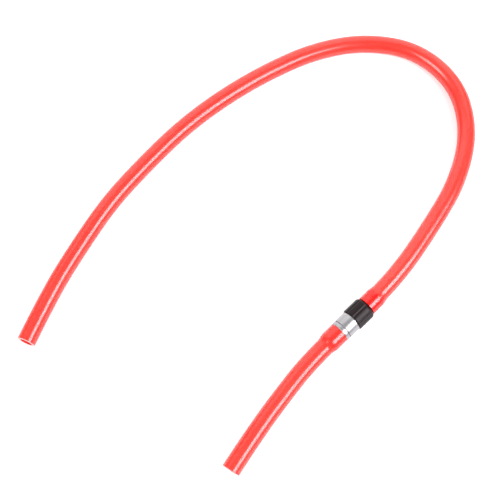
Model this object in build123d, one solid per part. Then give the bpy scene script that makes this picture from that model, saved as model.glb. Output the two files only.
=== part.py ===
from build123d import *

import math
import os

# Siphon hose with an in-line check valve. Millimetres, +Z up.
# The valve's axis is parallel to X, and the long hose leaves it towards +X.
# The origin is on the surface that the hose lies on, below the middle of the valve.

# ---- driving dimensions ----

# hoses
HOSE_BORE_R = 4.0
HOSE_R = 6.0
STRETCH_TAPER = 5.5  # length over which a hose narrows again past the last barb

# places along the valve's axis
INLET_TIP_X = -23.6
INLET_RIM_X = -11.0  # face that the short hose butts against
JOINT_X = -8.45  # where the inlet cap meets the barrel
SHOULDER_X = 0.0  # where the barrel steps down to its thread
NUT_START_X = 0.4
BARREL_END_X = 8.5
NUT_END_X = 13.2
OUTLET_TIP_X = 23.6

# metal body
BODY_R = 7.05
THREAD_R = 6.4
THREAD_RELIEF_R = 5.8
THREAD_RELIEF_LENGTH = 1.0
CHAMBER_R = 4.6
SOCKET_R = 5.9  # counterbore that takes the inlet cap's spigot
SPIGOT_LENGTH = 2.45
PASSAGE_R = 3.0
EDGE_BREAK = 0.3  # chamfer on turned edges
SNUG = 0.02  # radial clearance of pieces that are pushed in and stay

# barbs
NECK_R = 4.3
TIP_R = 4.1
INLET_BARB_R = 5.25
OUTLET_BARB_R = 5.05
INLET_CRESTS = (-13.8, -19.4)
OUTLET_CRESTS = (16.4, 21.5)
BARB_STEP = 0.4  # length of a barb's steep side
BARB_SLOPE = 3.6  # length of a barb's long side

# union nut
NUT_R = 7.75
NUT_THREAD_R = 6.5
NUT_HOLE_R = 4.6
NUT_WALL = 1.6  # thickness of the end that pulls on the tail piece
NUT_SHOULDER = 2.2  # rounding of the end towards the long hose
FLUTE_COUNT = 8
FLUTE_WIDTH = 2.0
FLUTE_DEPTH = 0.4
FLUTE_EDGE = 0.8  # rounding where a flute meets a lobe

# tail piece, seals and washer
FLANGE_R = 5.9
FLANGE_THICKNESS = 1.2
TAIL_SEAL_INNER_R = 3.3
WASHER_THICKNESS = 0.4
O_RING_CORD_R = 0.52
O_RING_GROOVE_WIDTH = 1.4
FACE_GAP = 0.05  # between faces of pieces that move apart

# check valve inside the barrel
SEAT_THICKNESS = 1.6
SEAT_BORE_R = 2.8
BALL_R = 3.5
BALL_GAP = 0.03
SPRING_R = 2.3
SPRING_WIRE_R = 0.2
SPRING_PITCH = 1.3
SPIDER_X = 6.0
SPIDER_THICKNESS = 1.2
SPIDER_RIM = 0.9
SPIDER_HUB_R = 2.8
SPIDER_HOLE_R = 1.4
SPIDER_ARM_WIDTH = 1.3
SPIDER_ARM_COUNT = 3
CIRCLIP_THICKNESS = 0.6
CIRCLIP_GROOVE_R = 4.95
CIRCLIP_INNER_R = 4.0
CIRCLIP_OPENING = 3.5

# ---- places worked out from them ----

# the nut stands on the two lobes beside its lowest flute
AXIS_Z = NUT_R * math.cos(FLUTE_WIDTH / 2 / NUT_R)

SPIGOT_END_X = JOINT_X + SPIGOT_LENGTH
SEAT_FACE_X = SPIGOT_END_X + SEAT_THICKNESS
BALL_X = SEAT_FACE_X + math.sqrt((BALL_R + BALL_GAP) ** 2 - SEAT_BORE_R**2)
CIRCLIP_X = SPIDER_X + SPIDER_THICKNESS
WASHER_X = NUT_END_X - NUT_WALL - FACE_GAP - WASHER_THICKNESS
FLANGE_X = WASHER_X - FLANGE_THICKNESS

# Each hose's route starts at its butted face and ends at its open mouth.
# Away from the valve a hose lies on the surface, so its centre is one hose radius up.
LONG_ROUTE = [
    (13.5, 0, AXIS_Z),
    (41, 0, AXIS_Z),
    (86, 9, HOSE_R),
    (120, 18, HOSE_R),
    (152, 37, HOSE_R),
    (172, 67, HOSE_R),
    (171, 104, HOSE_R),
    (149, 134, HOSE_R),
    (119, 153, HOSE_R),
    (85, 164, HOSE_R),
    (50, 171, HOSE_R),
    (14, 174, HOSE_R),
    (-22, 172, HOSE_R),
    (-58, 168, HOSE_R),
    (-92, 159, HOSE_R),
    (-127, 148, HOSE_R),
    (-159.6, 133.7, HOSE_R),
]
SHORT_ROUTE = [
    (-11, 0, AXIS_Z),
    (-37, 0, AXIS_Z),
    (-63, -3.2, HOSE_R),
    (-93.5, -8.3, HOSE_R),
    (-120.1, -14.4, HOSE_R),
]


# ---- shared shapes ----


def spun(face):
    """A solid spun about the valve's axis from a face drawn in x and radius."""
    return Pos(0, 0, AXIS_Z) * revolve(face, Axis.X)


def turned(profile):
    return spun(make_face(Polyline(*profile, close=True)))


def ring(x_start, x_end, inner_r, outer_r):
    return turned([(x_start, inner_r), (x_end, inner_r), (x_end, outer_r), (x_start, outer_r)])


def cross_section(x):
    """The plane across the valve's axis at x, its own y pointing up."""
    return Plane(origin=(x, 0, AXIS_Z), x_dir=(0, 1, 0), z_dir=(1, 0, 0))


# ---- hoses ----

WALL_SECTION = Circle(HOSE_R) - Circle(HOSE_BORE_R)


def corner_radii(route):
    """The arc at each corner: 0.45 of its shorter run over the tangent of half its turn."""
    points = [Vector(*point) for point in route]
    radii = []
    for before, corner, after in zip(points, points[1:], points[2:]):
        run_in = corner - before
        run_out = after - corner
        half_turn = math.radians(run_in.get_angle(run_out)) / 2
        radii.append(0.45 * min(run_in.length, run_out.length) / math.tan(half_turn))
    return radii


def stretched_end(face_x, last_crest_x, crest_r):
    """The end of a hose forced over a barb: its wall keeps its section, so it gets thinner."""
    thin_x = last_crest_x + math.copysign(STRETCH_TAPER, last_crest_x - face_x)
    swollen_r = math.sqrt(HOSE_R**2 - HOSE_BORE_R**2 + crest_r**2)
    profile = [
        (face_x, crest_r),
        (last_crest_x, crest_r),
        (thin_x, HOSE_BORE_R),
        (thin_x, HOSE_R),
        (last_crest_x, swollen_r),
        (face_x, swollen_r),
    ]
    return turned(profile), thin_x


def hose(route, last_crest_x, crest_r):
    """A hose in two solids that meet face to face.

    The first runs from the barb to the end of the last bend. The second is the straight
    open end behind it, whose bore a fitting pushes into.
    """
    face_x = route[0][0]
    cuff, thin_x = stretched_end(face_x, last_crest_x, crest_r)
    mouth = Vector(*route[-1])
    radii = corner_radii(route)
    line = FilletPolyline((thin_x, 0, AXIS_Z), *route[1:], radius=radii)
    straight, *curved = line.edges().sort_by_distance(mouth)
    bent_line = Wire(curved)

    start = Vector(thin_x, 0, AXIS_Z)
    wall = Plane(start, z_dir=Vector(*route[1]) - start) * WALL_SECTION
    tube = sweep(wall, path=bent_line)
    back = Vector(*route[-2]) - mouth
    open_end = extrude(Plane(mouth, z_dir=back) * WALL_SECTION, straight.length)

    length = abs(thin_x - face_x) + line.length
    print("hose length", round(length, 1), "arc radii", [round(r) for r in radii])
    print("  tube", round(tube.volume), "section x length", round(wall.area * bent_line.length))
    print("  straight open end", round(straight.length, 2))
    return cuff + tube, open_end


# ---- valve ----


def barb_outline(neck_x, crests, crest_r, tip_x):
    """Outer points from the neck to the tip, with each barb's steep side towards the neck."""
    outward = math.copysign(1, tip_x - neck_x)
    points = [(neck_x, NECK_R)]
    for crest in crests:
        points.append((crest - outward * BARB_STEP, NECK_R))
        points.append((crest, crest_r))
        points.append((crest + outward * BARB_SLOPE, NECK_R))
    points[-1] = (tip_x, TIP_R)  # the last slope runs on to the tip
    return points


def barrel():
    """The valve's metal body: socket for the inlet cap, ball chamber and male thread."""
    return turned(
        [
            (JOINT_X, SOCKET_R),
            (JOINT_X, BODY_R - EDGE_BREAK),
            (JOINT_X + EDGE_BREAK, BODY_R),
            (SHOULDER_X - EDGE_BREAK, BODY_R),
            (SHOULDER_X, BODY_R - EDGE_BREAK),
            (SHOULDER_X, THREAD_RELIEF_R),
            (SHOULDER_X + THREAD_RELIEF_LENGTH, THREAD_RELIEF_R),
            (SHOULDER_X + THREAD_RELIEF_LENGTH + EDGE_BREAK, THREAD_R),
            (BARREL_END_X - 2 * EDGE_BREAK, THREAD_R),
            (BARREL_END_X, THREAD_R - 2 * EDGE_BREAK),
            (BARREL_END_X, CHAMBER_R),
            (CIRCLIP_X + CIRCLIP_THICKNESS, CHAMBER_R),
            (CIRCLIP_X + CIRCLIP_THICKNESS, CIRCLIP_GROOVE_R),
            (CIRCLIP_X, CIRCLIP_GROOVE_R),
            (CIRCLIP_X, CHAMBER_R),
            (SEAT_FACE_X, CHAMBER_R),
            (SEAT_FACE_X, SOCKET_R),
        ]
    )


def inlet_cap():
    """The metal end with the short hose's barbs; its spigot closes the barrel's socket."""
    spigot_r = SOCKET_R - SNUG
    groove_r = spigot_r - 2 * O_RING_CORD_R
    groove_start = (JOINT_X + SPIGOT_END_X - O_RING_GROOVE_WIDTH) / 2
    groove_end = groove_start + O_RING_GROOVE_WIDTH
    barbs = barb_outline(INLET_RIM_X, INLET_CRESTS, INLET_BARB_R, INLET_TIP_X)
    return turned(
        [
            (INLET_TIP_X, PASSAGE_R),
            *reversed(barbs),
            (INLET_RIM_X, BODY_R - EDGE_BREAK),
            (INLET_RIM_X + EDGE_BREAK, BODY_R),
            (JOINT_X - EDGE_BREAK, BODY_R),
            (JOINT_X, BODY_R - EDGE_BREAK),
            (JOINT_X, spigot_r),
            (groove_start, spigot_r),
            (groove_start, groove_r),
            (groove_end, groove_r),
            (groove_end, spigot_r),
            (SPIGOT_END_X, spigot_r),
            (SPIGOT_END_X, PASSAGE_R),
        ]
    )


def cap_o_ring():
    middle_x = (JOINT_X + SPIGOT_END_X) / 2
    middle_r = SOCKET_R - SNUG - O_RING_CORD_R
    return spun(Pos(middle_x, middle_r) * Circle(O_RING_CORD_R))


def tail_piece():
    """The flanged nipple with the long hose's barbs, which the nut pulls onto the barrel."""
    barbs = barb_outline(WASHER_X, OUTLET_CRESTS, OUTLET_BARB_R, OUTLET_TIP_X)
    return turned(
        [
            (FLANGE_X, PASSAGE_R),
            (FLANGE_X, FLANGE_R),
            (WASHER_X, FLANGE_R),
            *barbs,
            (OUTLET_TIP_X, PASSAGE_R),
        ]
    )


def union_nut():
    """The hand nut: eight broad lobes between shallow flutes, rounded towards the long hose."""
    cutter_r = FLUTE_WIDTH**2 / (8 * FLUTE_DEPTH) + FLUTE_DEPTH / 2
    cutter_place = NUT_R - FLUTE_DEPTH + cutter_r
    section = Circle(NUT_R) - PolarLocations(cutter_place, FLUTE_COUNT) * Circle(cutter_r)
    section = fillet(section.vertices(), FLUTE_EDGE)
    fluted = extrude(cross_section(NUT_START_X) * section, NUT_END_X - NUT_START_X)

    envelope = ring(NUT_START_X, NUT_END_X, 0, NUT_R)
    envelope = fillet(envelope.edges().sort_by(Axis.X)[-1], NUT_SHOULDER)
    envelope = chamfer(envelope.edges().sort_by(Axis.X)[0], EDGE_BREAK)

    thread = ring(NUT_START_X, NUT_END_X - NUT_WALL, 0, NUT_THREAD_R)
    hole = ring(NUT_START_X, NUT_END_X, 0, NUT_HOLE_R)
    return (fluted & envelope) - thread - hole


def check_ball():
    return Pos(BALL_X, 0, AXIS_Z) * Sphere(BALL_R)


def check_spring():
    """A light coil spring between the ball and the spider's hub."""
    start_x = BALL_X + math.sqrt((BALL_R + SPRING_WIRE_R) ** 2 - SPRING_R**2) + FACE_GAP
    end_x = SPIDER_X - SPRING_WIRE_R - FACE_GAP
    coil = cross_section(start_x) * Helix(SPRING_PITCH, end_x - start_x, SPRING_R)
    wire = Plane(coil @ 0, z_dir=coil % 0) * Circle(SPRING_WIRE_R)
    return sweep(wire, path=coil, is_frenet=True)


def spring_spider():
    """The pressed-in disc behind the spring: a rim, a hub and three arms between them."""
    rim_r = CHAMBER_R - SNUG
    section = Circle(rim_r) - Circle(rim_r - SPIDER_RIM) + Circle(SPIDER_HUB_R)
    arm_length = rim_r - SPIDER_HUB_R
    arm = Rectangle(arm_length, SPIDER_ARM_WIDTH)
    section += PolarLocations((rim_r + SPIDER_HUB_R - SPIDER_RIM) / 2, SPIDER_ARM_COUNT) * arm
    section -= Circle(SPIDER_HOLE_R)
    return extrude(cross_section(SPIDER_X) * section, SPIDER_THICKNESS)


def circlip():
    """The split ring that keeps the spider in the barrel."""
    outer_r = CIRCLIP_GROOVE_R - SNUG
    opening = Pos(outer_r, 0) * Rectangle(2 * (outer_r - CIRCLIP_INNER_R) + 1, CIRCLIP_OPENING)
    section = Circle(outer_r) - Circle(CIRCLIP_INNER_R) - opening
    return extrude(cross_section(CIRCLIP_X) * section, CIRCLIP_THICKNESS)


long_hose, long_hose_open_end = hose(LONG_ROUTE, OUTLET_CRESTS[-1], OUTLET_BARB_R)
short_hose, short_hose_open_end = hose(SHORT_ROUTE, INLET_CRESTS[-1], INLET_BARB_R)

PARTS = {
    "long_hose": long_hose,
    "long_hose_open_end": long_hose_open_end,
    "short_hose": short_hose,
    "short_hose_open_end": short_hose_open_end,
    "barrel": barrel(),
    "inlet_cap": inlet_cap(),
    "cap_o_ring": cap_o_ring(),
    "tail_piece": tail_piece(),
    "tail_seal": ring(BARREL_END_X, FLANGE_X - FACE_GAP, TAIL_SEAL_INNER_R, FLANGE_R),
    "slip_washer": ring(WASHER_X, WASHER_X + WASHER_THICKNESS, NECK_R + SNUG, FLANGE_R),
    "union_nut": union_nut(),
    "seat_ring": ring(SPIGOT_END_X, SEAT_FACE_X, SEAT_BORE_R, SOCKET_R - SNUG),
    "check_ball": check_ball(),
    "check_spring": check_spring(),
    "spring_spider": spring_spider(),
    "circlip": circlip(),
}

os.makedirs("parts", exist_ok=True)
for name, shape in PARTS.items():
    export_step(shape, f"parts/{name}.step")
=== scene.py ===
import math

import bmesh
import bpy
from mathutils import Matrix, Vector


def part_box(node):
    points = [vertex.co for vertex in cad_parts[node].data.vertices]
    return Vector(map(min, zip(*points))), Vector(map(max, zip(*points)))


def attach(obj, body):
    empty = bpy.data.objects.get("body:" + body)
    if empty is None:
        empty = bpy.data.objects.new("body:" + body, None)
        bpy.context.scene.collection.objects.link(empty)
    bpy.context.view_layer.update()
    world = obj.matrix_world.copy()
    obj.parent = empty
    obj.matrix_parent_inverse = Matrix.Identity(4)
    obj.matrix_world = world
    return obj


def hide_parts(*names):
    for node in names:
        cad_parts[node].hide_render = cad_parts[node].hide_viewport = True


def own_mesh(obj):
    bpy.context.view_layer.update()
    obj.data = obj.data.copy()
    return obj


# A red siphon hose with an in-line check valve, lying on a white table. Metres, +Z up.
# The valve's axis is parallel to X, and the long hose leaves it towards +X.

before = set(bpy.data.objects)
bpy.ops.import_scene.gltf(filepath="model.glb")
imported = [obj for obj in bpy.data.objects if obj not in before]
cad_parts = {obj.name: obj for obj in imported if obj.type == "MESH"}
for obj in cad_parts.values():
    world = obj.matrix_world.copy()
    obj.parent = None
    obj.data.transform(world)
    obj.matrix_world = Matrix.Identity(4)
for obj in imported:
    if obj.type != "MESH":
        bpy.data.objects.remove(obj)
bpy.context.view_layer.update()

MM = 0.001

# ---- places and sizes ----

barrel_low, barrel_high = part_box("barrel")
spring_low, spring_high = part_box("check_spring")
AXIS_Z = (barrel_low.z + barrel_high.z) / 2

HOSE_R = 6.0 * MM
HOSE_BORE_R = 4.0 * MM
WALL_AREA = HOSE_R**2 - HOSE_BORE_R**2  # over pi; it stays the same where a hose is stretched

# The routes of the two hoses, as in the part: valve first, open mouth last.
LONG_ROUTE = [
    (0.0135, 0, AXIS_Z),
    (0.041, 0, AXIS_Z),
    (0.086, 0.009, HOSE_R),
    (0.120, 0.018, HOSE_R),
    (0.152, 0.037, HOSE_R),
    (0.172, 0.067, HOSE_R),
    (0.171, 0.104, HOSE_R),
    (0.149, 0.134, HOSE_R),
    (0.119, 0.153, HOSE_R),
    (0.085, 0.164, HOSE_R),
    (0.050, 0.171, HOSE_R),
    (0.014, 0.174, HOSE_R),
    (-0.022, 0.172, HOSE_R),
    (-0.058, 0.168, HOSE_R),
    (-0.092, 0.159, HOSE_R),
    (-0.127, 0.148, HOSE_R),
    (-0.1596, 0.1337, HOSE_R),
]
SHORT_ROUTE = [
    (-0.011, 0, AXIS_Z),
    (-0.037, 0, AXIS_Z),
    (-0.063, -0.0032, HOSE_R),
    (-0.0935, -0.0083, HOSE_R),
    (-0.1201, -0.0144, HOSE_R),
]

# Distances along each hose from its butted face: where it passes over each barb, where
# the metal inside it ends and the painted shade on the hose stops, and how far the barbs stretch its
# bore.
LONG_CRESTS = (2.9 * MM, 8.0 * MM)
LONG_METAL_END = 10.1 * MM
LONG_STRETCH_R = 5.05 * MM
LONG_HUMP = 0.06 * MM  # rise of the hose over each barb; it sags half as much between them
SHORT_CRESTS = (2.8 * MM, 8.4 * MM)
SHORT_METAL_END = 12.6 * MM
SHORT_STRETCH_R = 5.25 * MM
SHORT_HUMP = 0.03 * MM
HUMP_REACH = 1.1 * MM  # distance from a barb's crest at which the rise is down to a third
STRETCH_TAPER = 5.5 * MM  # length over which the hose narrows past the last barb
DENSE_END = 18 * MM  # up to here a hose's rings lie close together
SPARSE_STEP = 4  # beyond it, only every fourth point carries a ring
CUT_ROUNDING = 0.25 * MM
COLOUR_BLEND = 2 * MM  # to each side of the metal's end, where the painted shade over the metal fades into the plain red

# The turned metal pieces, in millimetres along and out from the valve's axis.
BODY_R = 7.05
JOINT_X = -8.45  # where the inlet cap meets the barrel, at the groove
GROOVE_WIDTH = 0.5
GROOVE_R = 6.2
SOCKET_R = 5.9
SPIGOT_R = 5.88
SPIGOT_END_X = -6.0
SEAT_FACE_X = -4.4
CHAMBER_R = 4.6
CIRCLIP_X = 7.2
CIRCLIP_THICKNESS = 0.6
CIRCLIP_GROOVE_R = 4.95
BARREL_END_X = 8.5
PASSAGE_R = 3.0

THREAD_START_X = 1.0
THREAD_R = 6.4
THREAD_ROOT_R = 5.75
THREAD_PITCH = 1.5
THREAD_FLANK = 2.6  # how steeply the groove's depth grows with the distance from the crest
THREAD_CREST = 0.15  # share of the depth taken off again, which leaves the crest flat
THREAD_RUN_IN = 0.7
THREAD_RUN_OUT = 0.9
THREAD_STEP = 0.1  # spacing of the rings that carry the thread

INLET_RIM_X = -11.0
INLET_TIP_X = -23.6
INLET_CRESTS = (-13.8, -19.4)
INLET_BARB_R = 5.25
BARB_SLOPE = 3.6  # length of the first barb's slope
BARB_BACK = 0.4  # length of the steep side behind each crest
NECK_R = 4.3
TIP_R = 4.1
O_RING_GROOVE = (-7.925, -6.525)
O_RING_GROOVE_R = 4.84

OUTER_ROUNDING = 0.3
SMALL_ROUNDING = 0.2
GROOVE_ROUNDING = 0.15
CREST_ROUNDING = 0.1

# The check spring
SPRING_R = 2.3 * MM
SPRING_WIRE_R = 0.2 * MM
SPRING_TURNS = 5

# ---- mesh helpers ----


def smooth_step(t):
    t = min(max(t, 0.0), 1.0)
    return t * t * (3 - 2 * t)


def add_object(name, mesh, smooth_angle=35):
    """Links a mesh, smooth except across edges sharper than smooth_angle degrees."""
    piece = bpy.data.objects.new(name, mesh)
    bpy.context.scene.collection.objects.link(piece)
    limit = math.radians(smooth_angle)
    work = bmesh.new()
    work.from_mesh(mesh)
    bmesh.ops.recalc_face_normals(work, faces=work.faces)
    for face in work.faces:
        face.smooth = True
    for edge in work.edges:
        edge.smooth = not (edge.is_manifold and edge.calc_face_angle(0) > limit)
    work.to_mesh(mesh)
    work.free()
    return piece


def ring_mesh(name, rings, distances=None):
    """A closed surface through rings of points, the last one joined to the first.

    With distances, one for each ring, the UV map Along holds the place round the ring
    and that distance in metres.
    """
    count = len(rings[0])
    points = [point for ring in rings for point in ring]
    faces = []
    for i in range(len(rings)):
        here = i * count
        there = (i + 1) % len(rings) * count
        for j in range(count):
            k = (j + 1) % count
            faces.append((here + j, here + k, there + k, there + j))
    mesh = bpy.data.meshes.new(name)
    mesh.from_pydata(points, [], faces)
    if distances:
        layer = mesh.uv_layers.new(name="Along")
        for face_number, polygon in enumerate(mesh.polygons):
            i, j = divmod(face_number, count)
            corners = ((i, j), (i, j + 1), (i + 1, j + 1), (i + 1, j))
            for loop, (ring, step) in zip(polygon.loop_indices, corners):
                layer.data[loop].uv = (step / count, distances[ring % len(rings)])
    mesh.update()
    return mesh


def rounded(corners, steps=4):
    """A closed (x, r) profile from (x, r) or (x, r, rounding) corners."""
    outline = []
    for i, (x, r, *rounding) in enumerate(corners):
        corner = Vector((x, r))
        if not rounding:
            outline.append(corner)
            continue
        before = Vector(corners[i - 1][:2])
        after = Vector(corners[(i + 1) % len(corners)][:2])
        start = corner + (before - corner).normalized() * rounding[0]
        end = corner + (after - corner).normalized() * rounding[0]
        for step in range(steps + 1):
            t = step / steps
            outline.append(start.lerp(corner, t).lerp(corner.lerp(end, t), t))
    return outline


def lathe(name, profile, radius_at=None, segments=96):
    """Spins a closed (x, r) profile in millimetres round the valve's axis.

    radius_at(x, r, turn) may change r; turn runs from 0 to 1 round the axis.
    """
    rings = []
    for x, r in profile:
        ring = []
        for j in range(segments):
            turn = j / segments
            angle = 2 * math.pi * turn
            reach = MM * (radius_at(x, r, turn) if radius_at else r)
            ring.append((x * MM, reach * math.sin(angle), AXIS_Z + reach * math.cos(angle)))
        rings.append(ring)
    return add_object(name, ring_mesh(name, rings))


def frames_along(points):
    """For each point of a line: the point, two directions across the line, and the forward one."""
    frames = []
    side = Vector((0, 0, 1)).cross(points[1] - points[0]).normalized()
    for i, point in enumerate(points):
        ahead = points[min(i + 1, len(points) - 1)]
        behind = points[max(i - 1, 0)]
        forward = (ahead - behind).normalized()
        side = (side - forward * side.dot(forward)).normalized()
        frames.append((point, side, forward.cross(side), forward))
    return frames


def ring_across(frame_here, radius, segments):
    """A ring of points round a line's frame, from its underside."""
    point, side, up, _ = frame_here
    ring = []
    for j in range(segments):
        angle = 2 * math.pi * j / segments
        ring.append(point + radius * (side * math.sin(angle) - up * math.cos(angle)))
    return ring


# ---- node helpers ----


def new_material(name):
    material = bpy.data.materials.new(name)
    material.use_nodes = True
    nodes = material.node_tree.nodes
    return material, nodes, material.node_tree.links, nodes["Principled BSDF"]


def coordinates(nodes, links, stretch=(1, 1, 1), source="Object"):
    """Texture coordinates, multiplied by stretch along each axis; Object ones are metres."""
    place = nodes.new("ShaderNodeTexCoord")
    mapping = nodes.new("ShaderNodeMapping")
    mapping.inputs["Scale"].default_value = stretch
    links.new(place.outputs[source], mapping.inputs["Vector"])
    return mapping.outputs["Vector"]


def noise(nodes, links, vector, scale, detail, roughness=0.5):
    texture = nodes.new("ShaderNodeTexNoise")
    texture.inputs["Scale"].default_value = scale
    texture.inputs["Detail"].default_value = detail
    texture.inputs["Roughness"].default_value = roughness
    links.new(vector, texture.inputs["Vector"])
    return texture.outputs["Fac"]


def ramp(nodes, links, value, stops):
    """A colour ramp from two (position, colour) stops."""
    node = nodes.new("ShaderNodeValToRGB")
    for element, (position, colour) in zip(node.color_ramp.elements, stops):
        element.position = position
        element.color = (*colour, 1)
    links.new(value, node.inputs["Fac"])
    return node.outputs["Color"]


def value_range(nodes, links, value, low, high, start=0.0, end=1.0):
    """Maps a value between start and end onto low to high, and no further."""
    node = nodes.new("ShaderNodeMapRange")
    node.inputs["From Min"].default_value = start
    node.inputs["From Max"].default_value = end
    node.inputs["To Min"].default_value = low
    node.inputs["To Max"].default_value = high
    links.new(value, node.inputs["Value"])
    return node.outputs["Result"]


def mixed(nodes, links, share, colour, other):
    """A colour with a share of another, fixed one mixed in."""
    node = nodes.new("ShaderNodeMixRGB")
    node.inputs["Color2"].default_value = (*other, 1)
    links.new(share, node.inputs["Fac"])
    links.new(colour, node.inputs["Color1"])
    return node.outputs["Color"]


def bump(nodes, links, height, shader, strength, distance):
    node = nodes.new("ShaderNodeBump")
    node.inputs["Strength"].default_value = strength
    node.inputs["Distance"].default_value = distance
    links.new(height, node.inputs["Height"])
    links.new(node.outputs["Normal"], shader.inputs["Normal"])


# ---- materials ----


def hose_material(name, metal_end, depth):
    """Translucent red PVC: glossy and slightly cloudy, with painted shade: a deeper red where metal
    fills the bore and blocks the light from below.
    """
    material, nodes, links, shader = new_material(name)
    cloud = noise(nodes, links, coordinates(nodes, links), scale=45, detail=3)
    colour = ramp(nodes, links, cloud, [(0.3, (0.84, 0.042, 0.027)), (0.7, (0.89, 0.055, 0.037))])
    # Painted shade: the hose turns a deeper red where the metal inside its bore blocks the light
    # from below.
    place = nodes.new("ShaderNodeSeparateXYZ")
    links.new(coordinates(nodes, links, source="UV"), place.inputs["Vector"])
    painted_shade_share = value_range(
        nodes,
        links,
        place.outputs["Y"],
        low=depth,
        high=0,
        start=metal_end - COLOUR_BLEND,
        end=metal_end + COLOUR_BLEND,
    )
    colour = mixed(nodes, links, painted_shade_share, colour, (0.80, 0.005, 0.001))
    links.new(colour, shader.inputs["Base Color"])
    lengthwise = coordinates(nodes, links, stretch=(36, 6, 1), source="UV")
    lines = noise(nodes, links, lengthwise, scale=2, detail=3)
    links.new(value_range(nodes, links, lines, 0.20, 0.24), shader.inputs["Roughness"])
    bump(nodes, links, lines, shader, strength=0.012, distance=0.03 * MM)
    shader.inputs["IOR"].default_value = 1.52
    shader.inputs["Subsurface Weight"].default_value = 0.35
    shader.inputs["Subsurface Radius"].default_value = (1.0, 0.16, 0.1)
    shader.inputs["Subsurface Scale"].default_value = 0.004
    shader.inputs["Transmission Weight"].default_value = 0.35
    return material


def cut_face_material():
    """The cut end of the hose: the same PVC, matt, with painted light: much paler, as where light
    falls on the cut.
    """
    material, nodes, links, shader = new_material("pvc_red_cut")
    grain = noise(nodes, links, coordinates(nodes, links), scale=2500, detail=3)
    # Painted light: the pale pink stands for the light falling on the cut face.
    colour = ramp(nodes, links, grain, [(0.3, (0.95, 0.36, 0.34)), (0.7, (0.97, 0.50, 0.48))])
    links.new(colour, shader.inputs["Base Color"])
    links.new(value_range(nodes, links, grain, 0.4, 0.6), shader.inputs["Roughness"])
    bump(nodes, links, grain, shader, strength=0.3, distance=0.1 * MM)
    return material


def nut_material():
    """Black moulded nylon: satin, with a fine grain and rubbed patches."""
    material, nodes, links, shader = new_material("nylon_black")
    grain = noise(nodes, links, coordinates(nodes, links), scale=3200, detail=2)
    along_nut = coordinates(nodes, links, stretch=(0.4, 1, 1))
    rubbed = noise(nodes, links, along_nut, scale=260, detail=5, roughness=0.6)
    dark = (0.0055, 0.0015, 0.002)
    light = (0.009, 0.004, 0.0045)
    colour = ramp(nodes, links, rubbed, [(0.35, dark), (0.75, light)])
    links.new(colour, shader.inputs["Base Color"])
    links.new(value_range(nodes, links, rubbed, 0.36, 0.48), shader.inputs["Roughness"])
    bump(nodes, links, grain, shader, strength=0.12, distance=0.05 * MM)
    shader.inputs["Specular IOR Level"].default_value = 0.2
    return material


def turned_metal(name, tint, low, high):
    """Metal with fine turning marks round the valve's axis."""
    material, nodes, links, shader = new_material(name)
    across_marks = coordinates(nodes, links, stretch=(9000, 60, 60))
    marks = noise(nodes, links, across_marks, scale=1, detail=3)
    smudge = noise(nodes, links, coordinates(nodes, links), scale=180, detail=4)
    darker = tuple(0.9 * channel for channel in tint)
    links.new(ramp(nodes, links, marks, [(0.25, darker), (0.75, tint)]), shader.inputs["Base Color"])
    links.new(value_range(nodes, links, smudge, low, high), shader.inputs["Roughness"])
    bump(nodes, links, marks, shader, strength=0.05, distance=0.02 * MM)
    shader.inputs["Metallic"].default_value = 1.0
    return material


def soft_material(name, dark, light, low, high, grain_scale):
    """Plain seals and plastics: mottled colour, a little grain."""
    material, nodes, links, shader = new_material(name)
    grain = noise(nodes, links, coordinates(nodes, links), grain_scale, detail=4)
    links.new(ramp(nodes, links, grain, [(0.3, dark), (0.7, light)]), shader.inputs["Base Color"])
    links.new(value_range(nodes, links, grain, low, high), shader.inputs["Roughness"])
    bump(nodes, links, grain, shader, strength=0.15, distance=0.05 * MM)
    return material


def table_material():
    """A matt white table that glows a little, so that shadows on it stay pale."""
    material, nodes, links, shader = new_material("table_white")
    speckle = noise(nodes, links, coordinates(nodes, links), scale=40, detail=3)
    tone = ramp(nodes, links, speckle, [(0.3, (0.70, 0.70, 0.70)), (0.7, (0.72, 0.72, 0.72))])
    links.new(tone, shader.inputs["Base Color"])
    shader.inputs["Roughness"].default_value = 0.6
    shader.inputs["Specular IOR Level"].default_value = 0.2
    shader.inputs["Emission Color"].default_value = (1, 1, 1, 1)
    shader.inputs["Emission Strength"].default_value = 0.32
    return material


# The last number is how strongly each hose is painted with shade over the metal in its bore.
PVC_LONG = hose_material("pvc_red_long", LONG_METAL_END, 1.0)
PVC_SHORT = hose_material("pvc_red_short", SHORT_METAL_END, 0.45)
PVC_CUT = cut_face_material()
NYLON = nut_material()
ALUMINIUM = turned_metal("aluminium_satin", (0.37, 0.37, 0.38), 0.33, 0.39)
STEEL = turned_metal("steel_bright", (0.62, 0.62, 0.63), 0.12, 0.22)
RUBBER = soft_material("rubber_black", (0.012, 0.012, 0.012), (0.03, 0.03, 0.03), 0.55, 0.75, 900)
ACETAL = soft_material("acetal_white", (0.72, 0.72, 0.68), (0.82, 0.82, 0.79), 0.35, 0.5, 600)

# ---- hoses ----


def spline_points(route, name):
    """Points read from the NURBS spline that has the route as its control points."""
    curve = bpy.data.curves.new(name, "CURVE")
    curve.dimensions = "3D"
    curve.resolution_u = 64
    spline = curve.splines.new("NURBS")
    spline.points.add(len(route) - 1)
    for control, place in zip(spline.points, route):
        control.co = (*place, 1)
    spline.order_u = 3
    spline.use_endpoint_u = True
    carrier = bpy.data.objects.new(name, curve)
    bpy.context.scene.collection.objects.link(carrier)
    bpy.context.view_layer.update()
    line = bpy.data.meshes.new_from_object(carrier)
    points = [vertex.co.copy() for vertex in line.vertices]
    bpy.data.objects.remove(carrier)
    bpy.data.meshes.remove(line)
    return points


def thinned(points):
    """Every point over the barbs, where the hose changes shape, and fewer beyond."""
    dense = [point for point in points if (point - points[0]).length < DENSE_END]
    return dense + points[len(dense) : -1 : SPARSE_STEP] + points[-1:]


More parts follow.
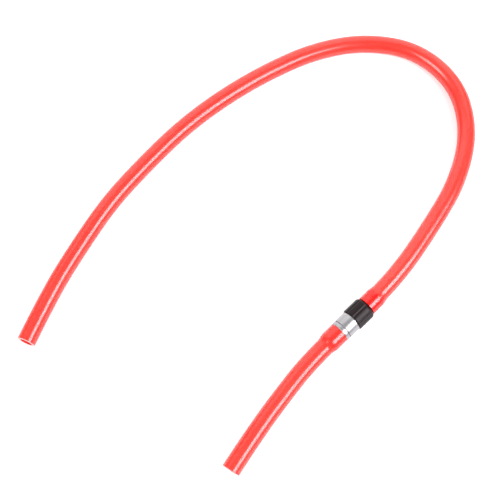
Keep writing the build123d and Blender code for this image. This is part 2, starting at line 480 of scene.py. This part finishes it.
def stretched_radius(s, crests, stretch_r, hump):
    """The hose's outer radius at a distance s from its butted face: swollen over the barbs."""
    swollen = math.sqrt(WALL_AREA + stretch_r**2)
    between = sum(crests) / len(crests)
    shape = sum(hump * math.exp(-(((s - crest) / HUMP_REACH) ** 2)) for crest in crests)
    shape -= hump / 2 * math.exp(-(((s - between) / HUMP_REACH) ** 2))
    past = (s - crests[-1]) / STRETCH_TAPER
    return HOSE_R + (swollen - HOSE_R + shape) * (1 - smooth_step(past))


def hose(name, material, route, crests, stretch_r, hump, cut_angle=0, segments=56):
    """A hollow mesh tube along the route's spline, with its cut ends.

    cut_angle, in degrees, leans the open end's cut back at the top.
    """
    points = thinned(spline_points(route, name + "_line"))
    distances = [0.0]
    for before, after in zip(points, points[1:]):
        distances.append(distances[-1] + (after - before).length)
    frames = frames_along(points)
    outer = [stretched_radius(s, crests, stretch_r, hump) for s in distances]
    inner = [math.sqrt(r * r - WALL_AREA) for r in outer]

    outside = [ring_across(here, r, segments) for here, r in zip(frames, outer)]
    bore = [ring_across(here, r, segments) for here, r in zip(frames, inner)]
    mouth, _, _, forward = frames[-1]
    proud = forward * CUT_ROUNDING / 2
    cut_face = []
    for r in (outer[-1] - CUT_ROUNDING, inner[-1] + CUT_ROUNDING):
        cut_face.append([point + proud for point in ring_across(frames[-1], r, segments)])
    lean = math.tan(math.radians(cut_angle))
    for ring in (outside[-1], *cut_face, bore[-1]):
        for point in ring:
            point -= forward * (point.z - mouth.z) * lean

    rings = outside + cut_face + bore[::-1]
    ring_distances = distances + [distances[-1]] * len(cut_face) + distances[::-1]
    mesh = ring_mesh(name, rings, ring_distances)
    mesh.materials.append(material)
    mesh.materials.append(PVC_CUT)
    first_cut = len(outside) - 1
    for face_number, polygon in enumerate(mesh.polygons):
        on_cut = first_cut <= face_number // segments <= first_cut + len(cut_face)
        polygon.material_index = int(on_cut)
    return add_object(name, mesh, smooth_angle=50), points


long_hose, long_line = hose(
    "hose_long", PVC_LONG, LONG_ROUTE, LONG_CRESTS, LONG_STRETCH_R, LONG_HUMP, cut_angle=6.5
)
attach(long_hose, "tail")
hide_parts("long_hose", "long_hose_open_end")

short_hose, short_line = hose(
    "hose_short", PVC_SHORT, SHORT_ROUTE, SHORT_CRESTS, SHORT_STRETCH_R, SHORT_HUMP
)
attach(short_hose, "valve")
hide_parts("short_hose", "short_hose_open_end")

# ---- turned metal pieces ----


def thread_radius(x, r, turn):
    """Cuts the right-hand thread into the barrel's outside, fading out at both ends."""
    on_thread = math.isclose(r, THREAD_R, rel_tol=1e-5)  # the profile's numbers are 32-bit
    if not on_thread:
        return r
    phase = (x / THREAD_PITCH + turn) % 1
    cut = min(max(THREAD_FLANK * abs(phase - 0.5) - THREAD_CREST, 0), 1)
    run_in = smooth_step((x - THREAD_START_X) / THREAD_RUN_IN)
    run_out = smooth_step((BARREL_END_X - x) / THREAD_RUN_OUT)
    return THREAD_R - (THREAD_R - THREAD_ROOT_R) * max(cut, 1 - run_in, 1 - run_out)


def barrel():
    """The valve's body: groove, ball chamber and the union's male thread."""
    thread_steps = round((BARREL_END_X - THREAD_START_X) / THREAD_STEP)
    thread = [(THREAD_START_X + THREAD_STEP * i, THREAD_R) for i in range(thread_steps + 1)]
    corners = [
        (JOINT_X, SOCKET_R),
        (JOINT_X, GROOVE_R),
        (JOINT_X + GROOVE_WIDTH, GROOVE_R),
        (JOINT_X + GROOVE_WIDTH, BODY_R, GROOVE_ROUNDING),
        (0, BODY_R, OUTER_ROUNDING),
        (0, THREAD_ROOT_R, SMALL_ROUNDING),
        *thread,
        (BARREL_END_X, CHAMBER_R),
        (CIRCLIP_X + CIRCLIP_THICKNESS, CHAMBER_R),
        (CIRCLIP_X + CIRCLIP_THICKNESS, CIRCLIP_GROOVE_R),
        (CIRCLIP_X, CIRCLIP_GROOVE_R),
        (CIRCLIP_X, CHAMBER_R),
        (SEAT_FACE_X, CHAMBER_R),
        (SEAT_FACE_X, SOCKET_R),
    ]
    return lathe("barrel_turned", rounded(corners), thread_radius)


def inlet_cap():
    """The end with the short hose's barbs; its rim is the near side of the groove."""
    first_crest, last_crest = INLET_CRESTS
    groove_start, groove_end = O_RING_GROOVE
    corners = [
        (INLET_TIP_X, PASSAGE_R),
        (INLET_TIP_X, TIP_R, SMALL_ROUNDING),
        (last_crest, INLET_BARB_R, CREST_ROUNDING),
        (last_crest + BARB_BACK, NECK_R),
        (first_crest - BARB_SLOPE, NECK_R),
        (first_crest, INLET_BARB_R, CREST_ROUNDING),
        (first_crest + BARB_BACK, NECK_R),
        (INLET_RIM_X, NECK_R),
        (INLET_RIM_X, BODY_R, OUTER_ROUNDING),
        (JOINT_X, BODY_R, GROOVE_ROUNDING),
        (JOINT_X, SPIGOT_R),
        (groove_start, SPIGOT_R),
        (groove_start, O_RING_GROOVE_R),
        (groove_end, O_RING_GROOVE_R),
        (groove_end, SPIGOT_R),
        (SPIGOT_END_X, SPIGOT_R, SMALL_ROUNDING),
        (SPIGOT_END_X, PASSAGE_R, SMALL_ROUNDING),
    ]
    return lathe("inlet_cap_turned", rounded(corners))


for node, piece in (("barrel", barrel()), ("inlet_cap", inlet_cap())):
    piece.data.materials.append(ALUMINIUM)
    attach(piece, "valve")
    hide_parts(node)

# ---- check spring ----


def check_spring(segments=10, steps_per_turn=36):
    """A coil with its end turns drawn together, from the ball to the spider."""
    start_x = spring_low.x + SPRING_WIRE_R
    length = spring_high.x - SPRING_WIRE_R - start_x
    points = []
    for i in range(SPRING_TURNS * steps_per_turn + 1):
        t = i / (SPRING_TURNS * steps_per_turn)
        angle = 2 * math.pi * SPRING_TURNS * t
        x = start_x + length * (t + smooth_step(t)) / 2
        points.append(
            Vector((x, SPRING_R * math.cos(angle), AXIS_Z + SPRING_R * math.sin(angle)))
        )
    rings = [ring_across(here, SPRING_WIRE_R, segments) for here in frames_along(points)]
    tips = [[point] * segments for point in (points[-1], points[0])]
    mesh = ring_mesh("check_spring_coil", rings + tips)
    mesh.materials.append(STEEL)
    return add_object("check_spring_coil", mesh)


spring = check_spring()
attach(spring, "valve")
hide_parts("check_spring")
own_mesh(spring)

# ---- carried-over CAD nodes ----

FINISHES = {
    "tail_piece": ALUMINIUM,
    "union_nut": NYLON,
    "cap_o_ring": RUBBER,
    "tail_seal": RUBBER,
    "seat_ring": RUBBER,
    "slip_washer": ACETAL,
    "spring_spider": ACETAL,
    "check_ball": STEEL,
    "circlip": STEEL,
}
for node, material in FINISHES.items():
    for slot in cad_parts[node].material_slots:
        slot.material = material

# ---- camera ----


def toward(azimuth_degrees, elevation_degrees):
    """The direction at an azimuth, turned from +X towards +Y, and an elevation."""
    azimuth = math.radians(azimuth_degrees)
    elevation = math.radians(elevation_degrees)
    level = math.cos(elevation)
    return Vector((level * math.cos(azimuth), level * math.sin(azimuth), math.sin(elevation)))


def facing(direction):
    """The turn that points an object's -Z back along a direction, upright."""
    return (-direction).to_track_quat("-Z", "Y")


# The camera looks down steeply on the loop, from the side of the two open mouths.
AIM = Vector((-0.01414, 0.07936, HOSE_R))
CAMERA_DIRECTION = toward(-133.7, 73.6)
CAMERA_DISTANCE = 0.610
FOCAL_WIDTHS = 1.86  # focal length over the sensor's width

camera_data = bpy.data.cameras.new("camera")
camera_data.sensor_width = 36
camera_data.lens = FOCAL_WIDTHS * camera_data.sensor_width
camera_data.clip_start = 0.01
camera = bpy.data.objects.new("camera", camera_data)
bpy.context.scene.collection.objects.link(camera)
camera.location = AIM + CAMERA_DIRECTION * CAMERA_DISTANCE
camera.rotation_mode = "QUATERNION"
camera.rotation_quaternion = facing(CAMERA_DIRECTION)
bpy.context.scene.camera = camera

# ---- table and light ----

ROOM_R = 1.4  # distance of the soft boxes
WATTS_PER_AREA = 4  # what a square metre of a soft box needs for a radiance of one


def table():
    mesh = bpy.data.meshes.new("table_top")
    half = 3.0
    mesh.from_pydata(
        [(-half, -half, 0), (half, -half, 0), (half, half, 0), (-half, half, 0)],
        [],
        [(0, 1, 2, 3)],
    )
    mesh.materials.append(table_material())
    top = bpy.data.objects.new("table_top", mesh)
    bpy.context.scene.collection.objects.link(top)


def soft_box(name, direction, width, height, brightness, tint=(1, 1, 1)):
    """A rectangular light that faces the object, upright, with brightness as its radiance."""
    light = bpy.data.lights.new(name, "AREA")
    light.color = tint
    light.shape = "RECTANGLE"
    light.size = width
    light.size_y = height
    light.energy = WATTS_PER_AREA * brightness * width * height
    lamp = bpy.data.objects.new(name, light)
    bpy.context.scene.collection.objects.link(lamp)
    lamp.location = AIM + direction * ROOM_R
    lamp.rotation_mode = "QUATERNION"
    lamp.rotation_quaternion = facing(direction)
    lamp.visible_camera = False


def surroundings(strength):
    world = bpy.data.worlds.new("white_room")
    world.use_nodes = True
    background = world.node_tree.nodes["Background"]
    background.inputs["Color"].default_value = (1.0, 1.0, 1.0, 1)
    background.inputs["Strength"].default_value = strength
    bpy.context.scene.world = world


table()
soft_box(
    "key", toward(-66, 45), width=0.84, height=0.74, brightness=11, tint=(0.99, 0.94, 1.0)
)
soft_box("second", toward(165, 53), width=0.60, height=0.80, brightness=7.2)
soft_box("wall", toward(50, 30), width=2.6, height=1.9, brightness=1.1)
surroundings(strength=0.42)
bpy.context.scene.view_settings.view_transform = "Standard"
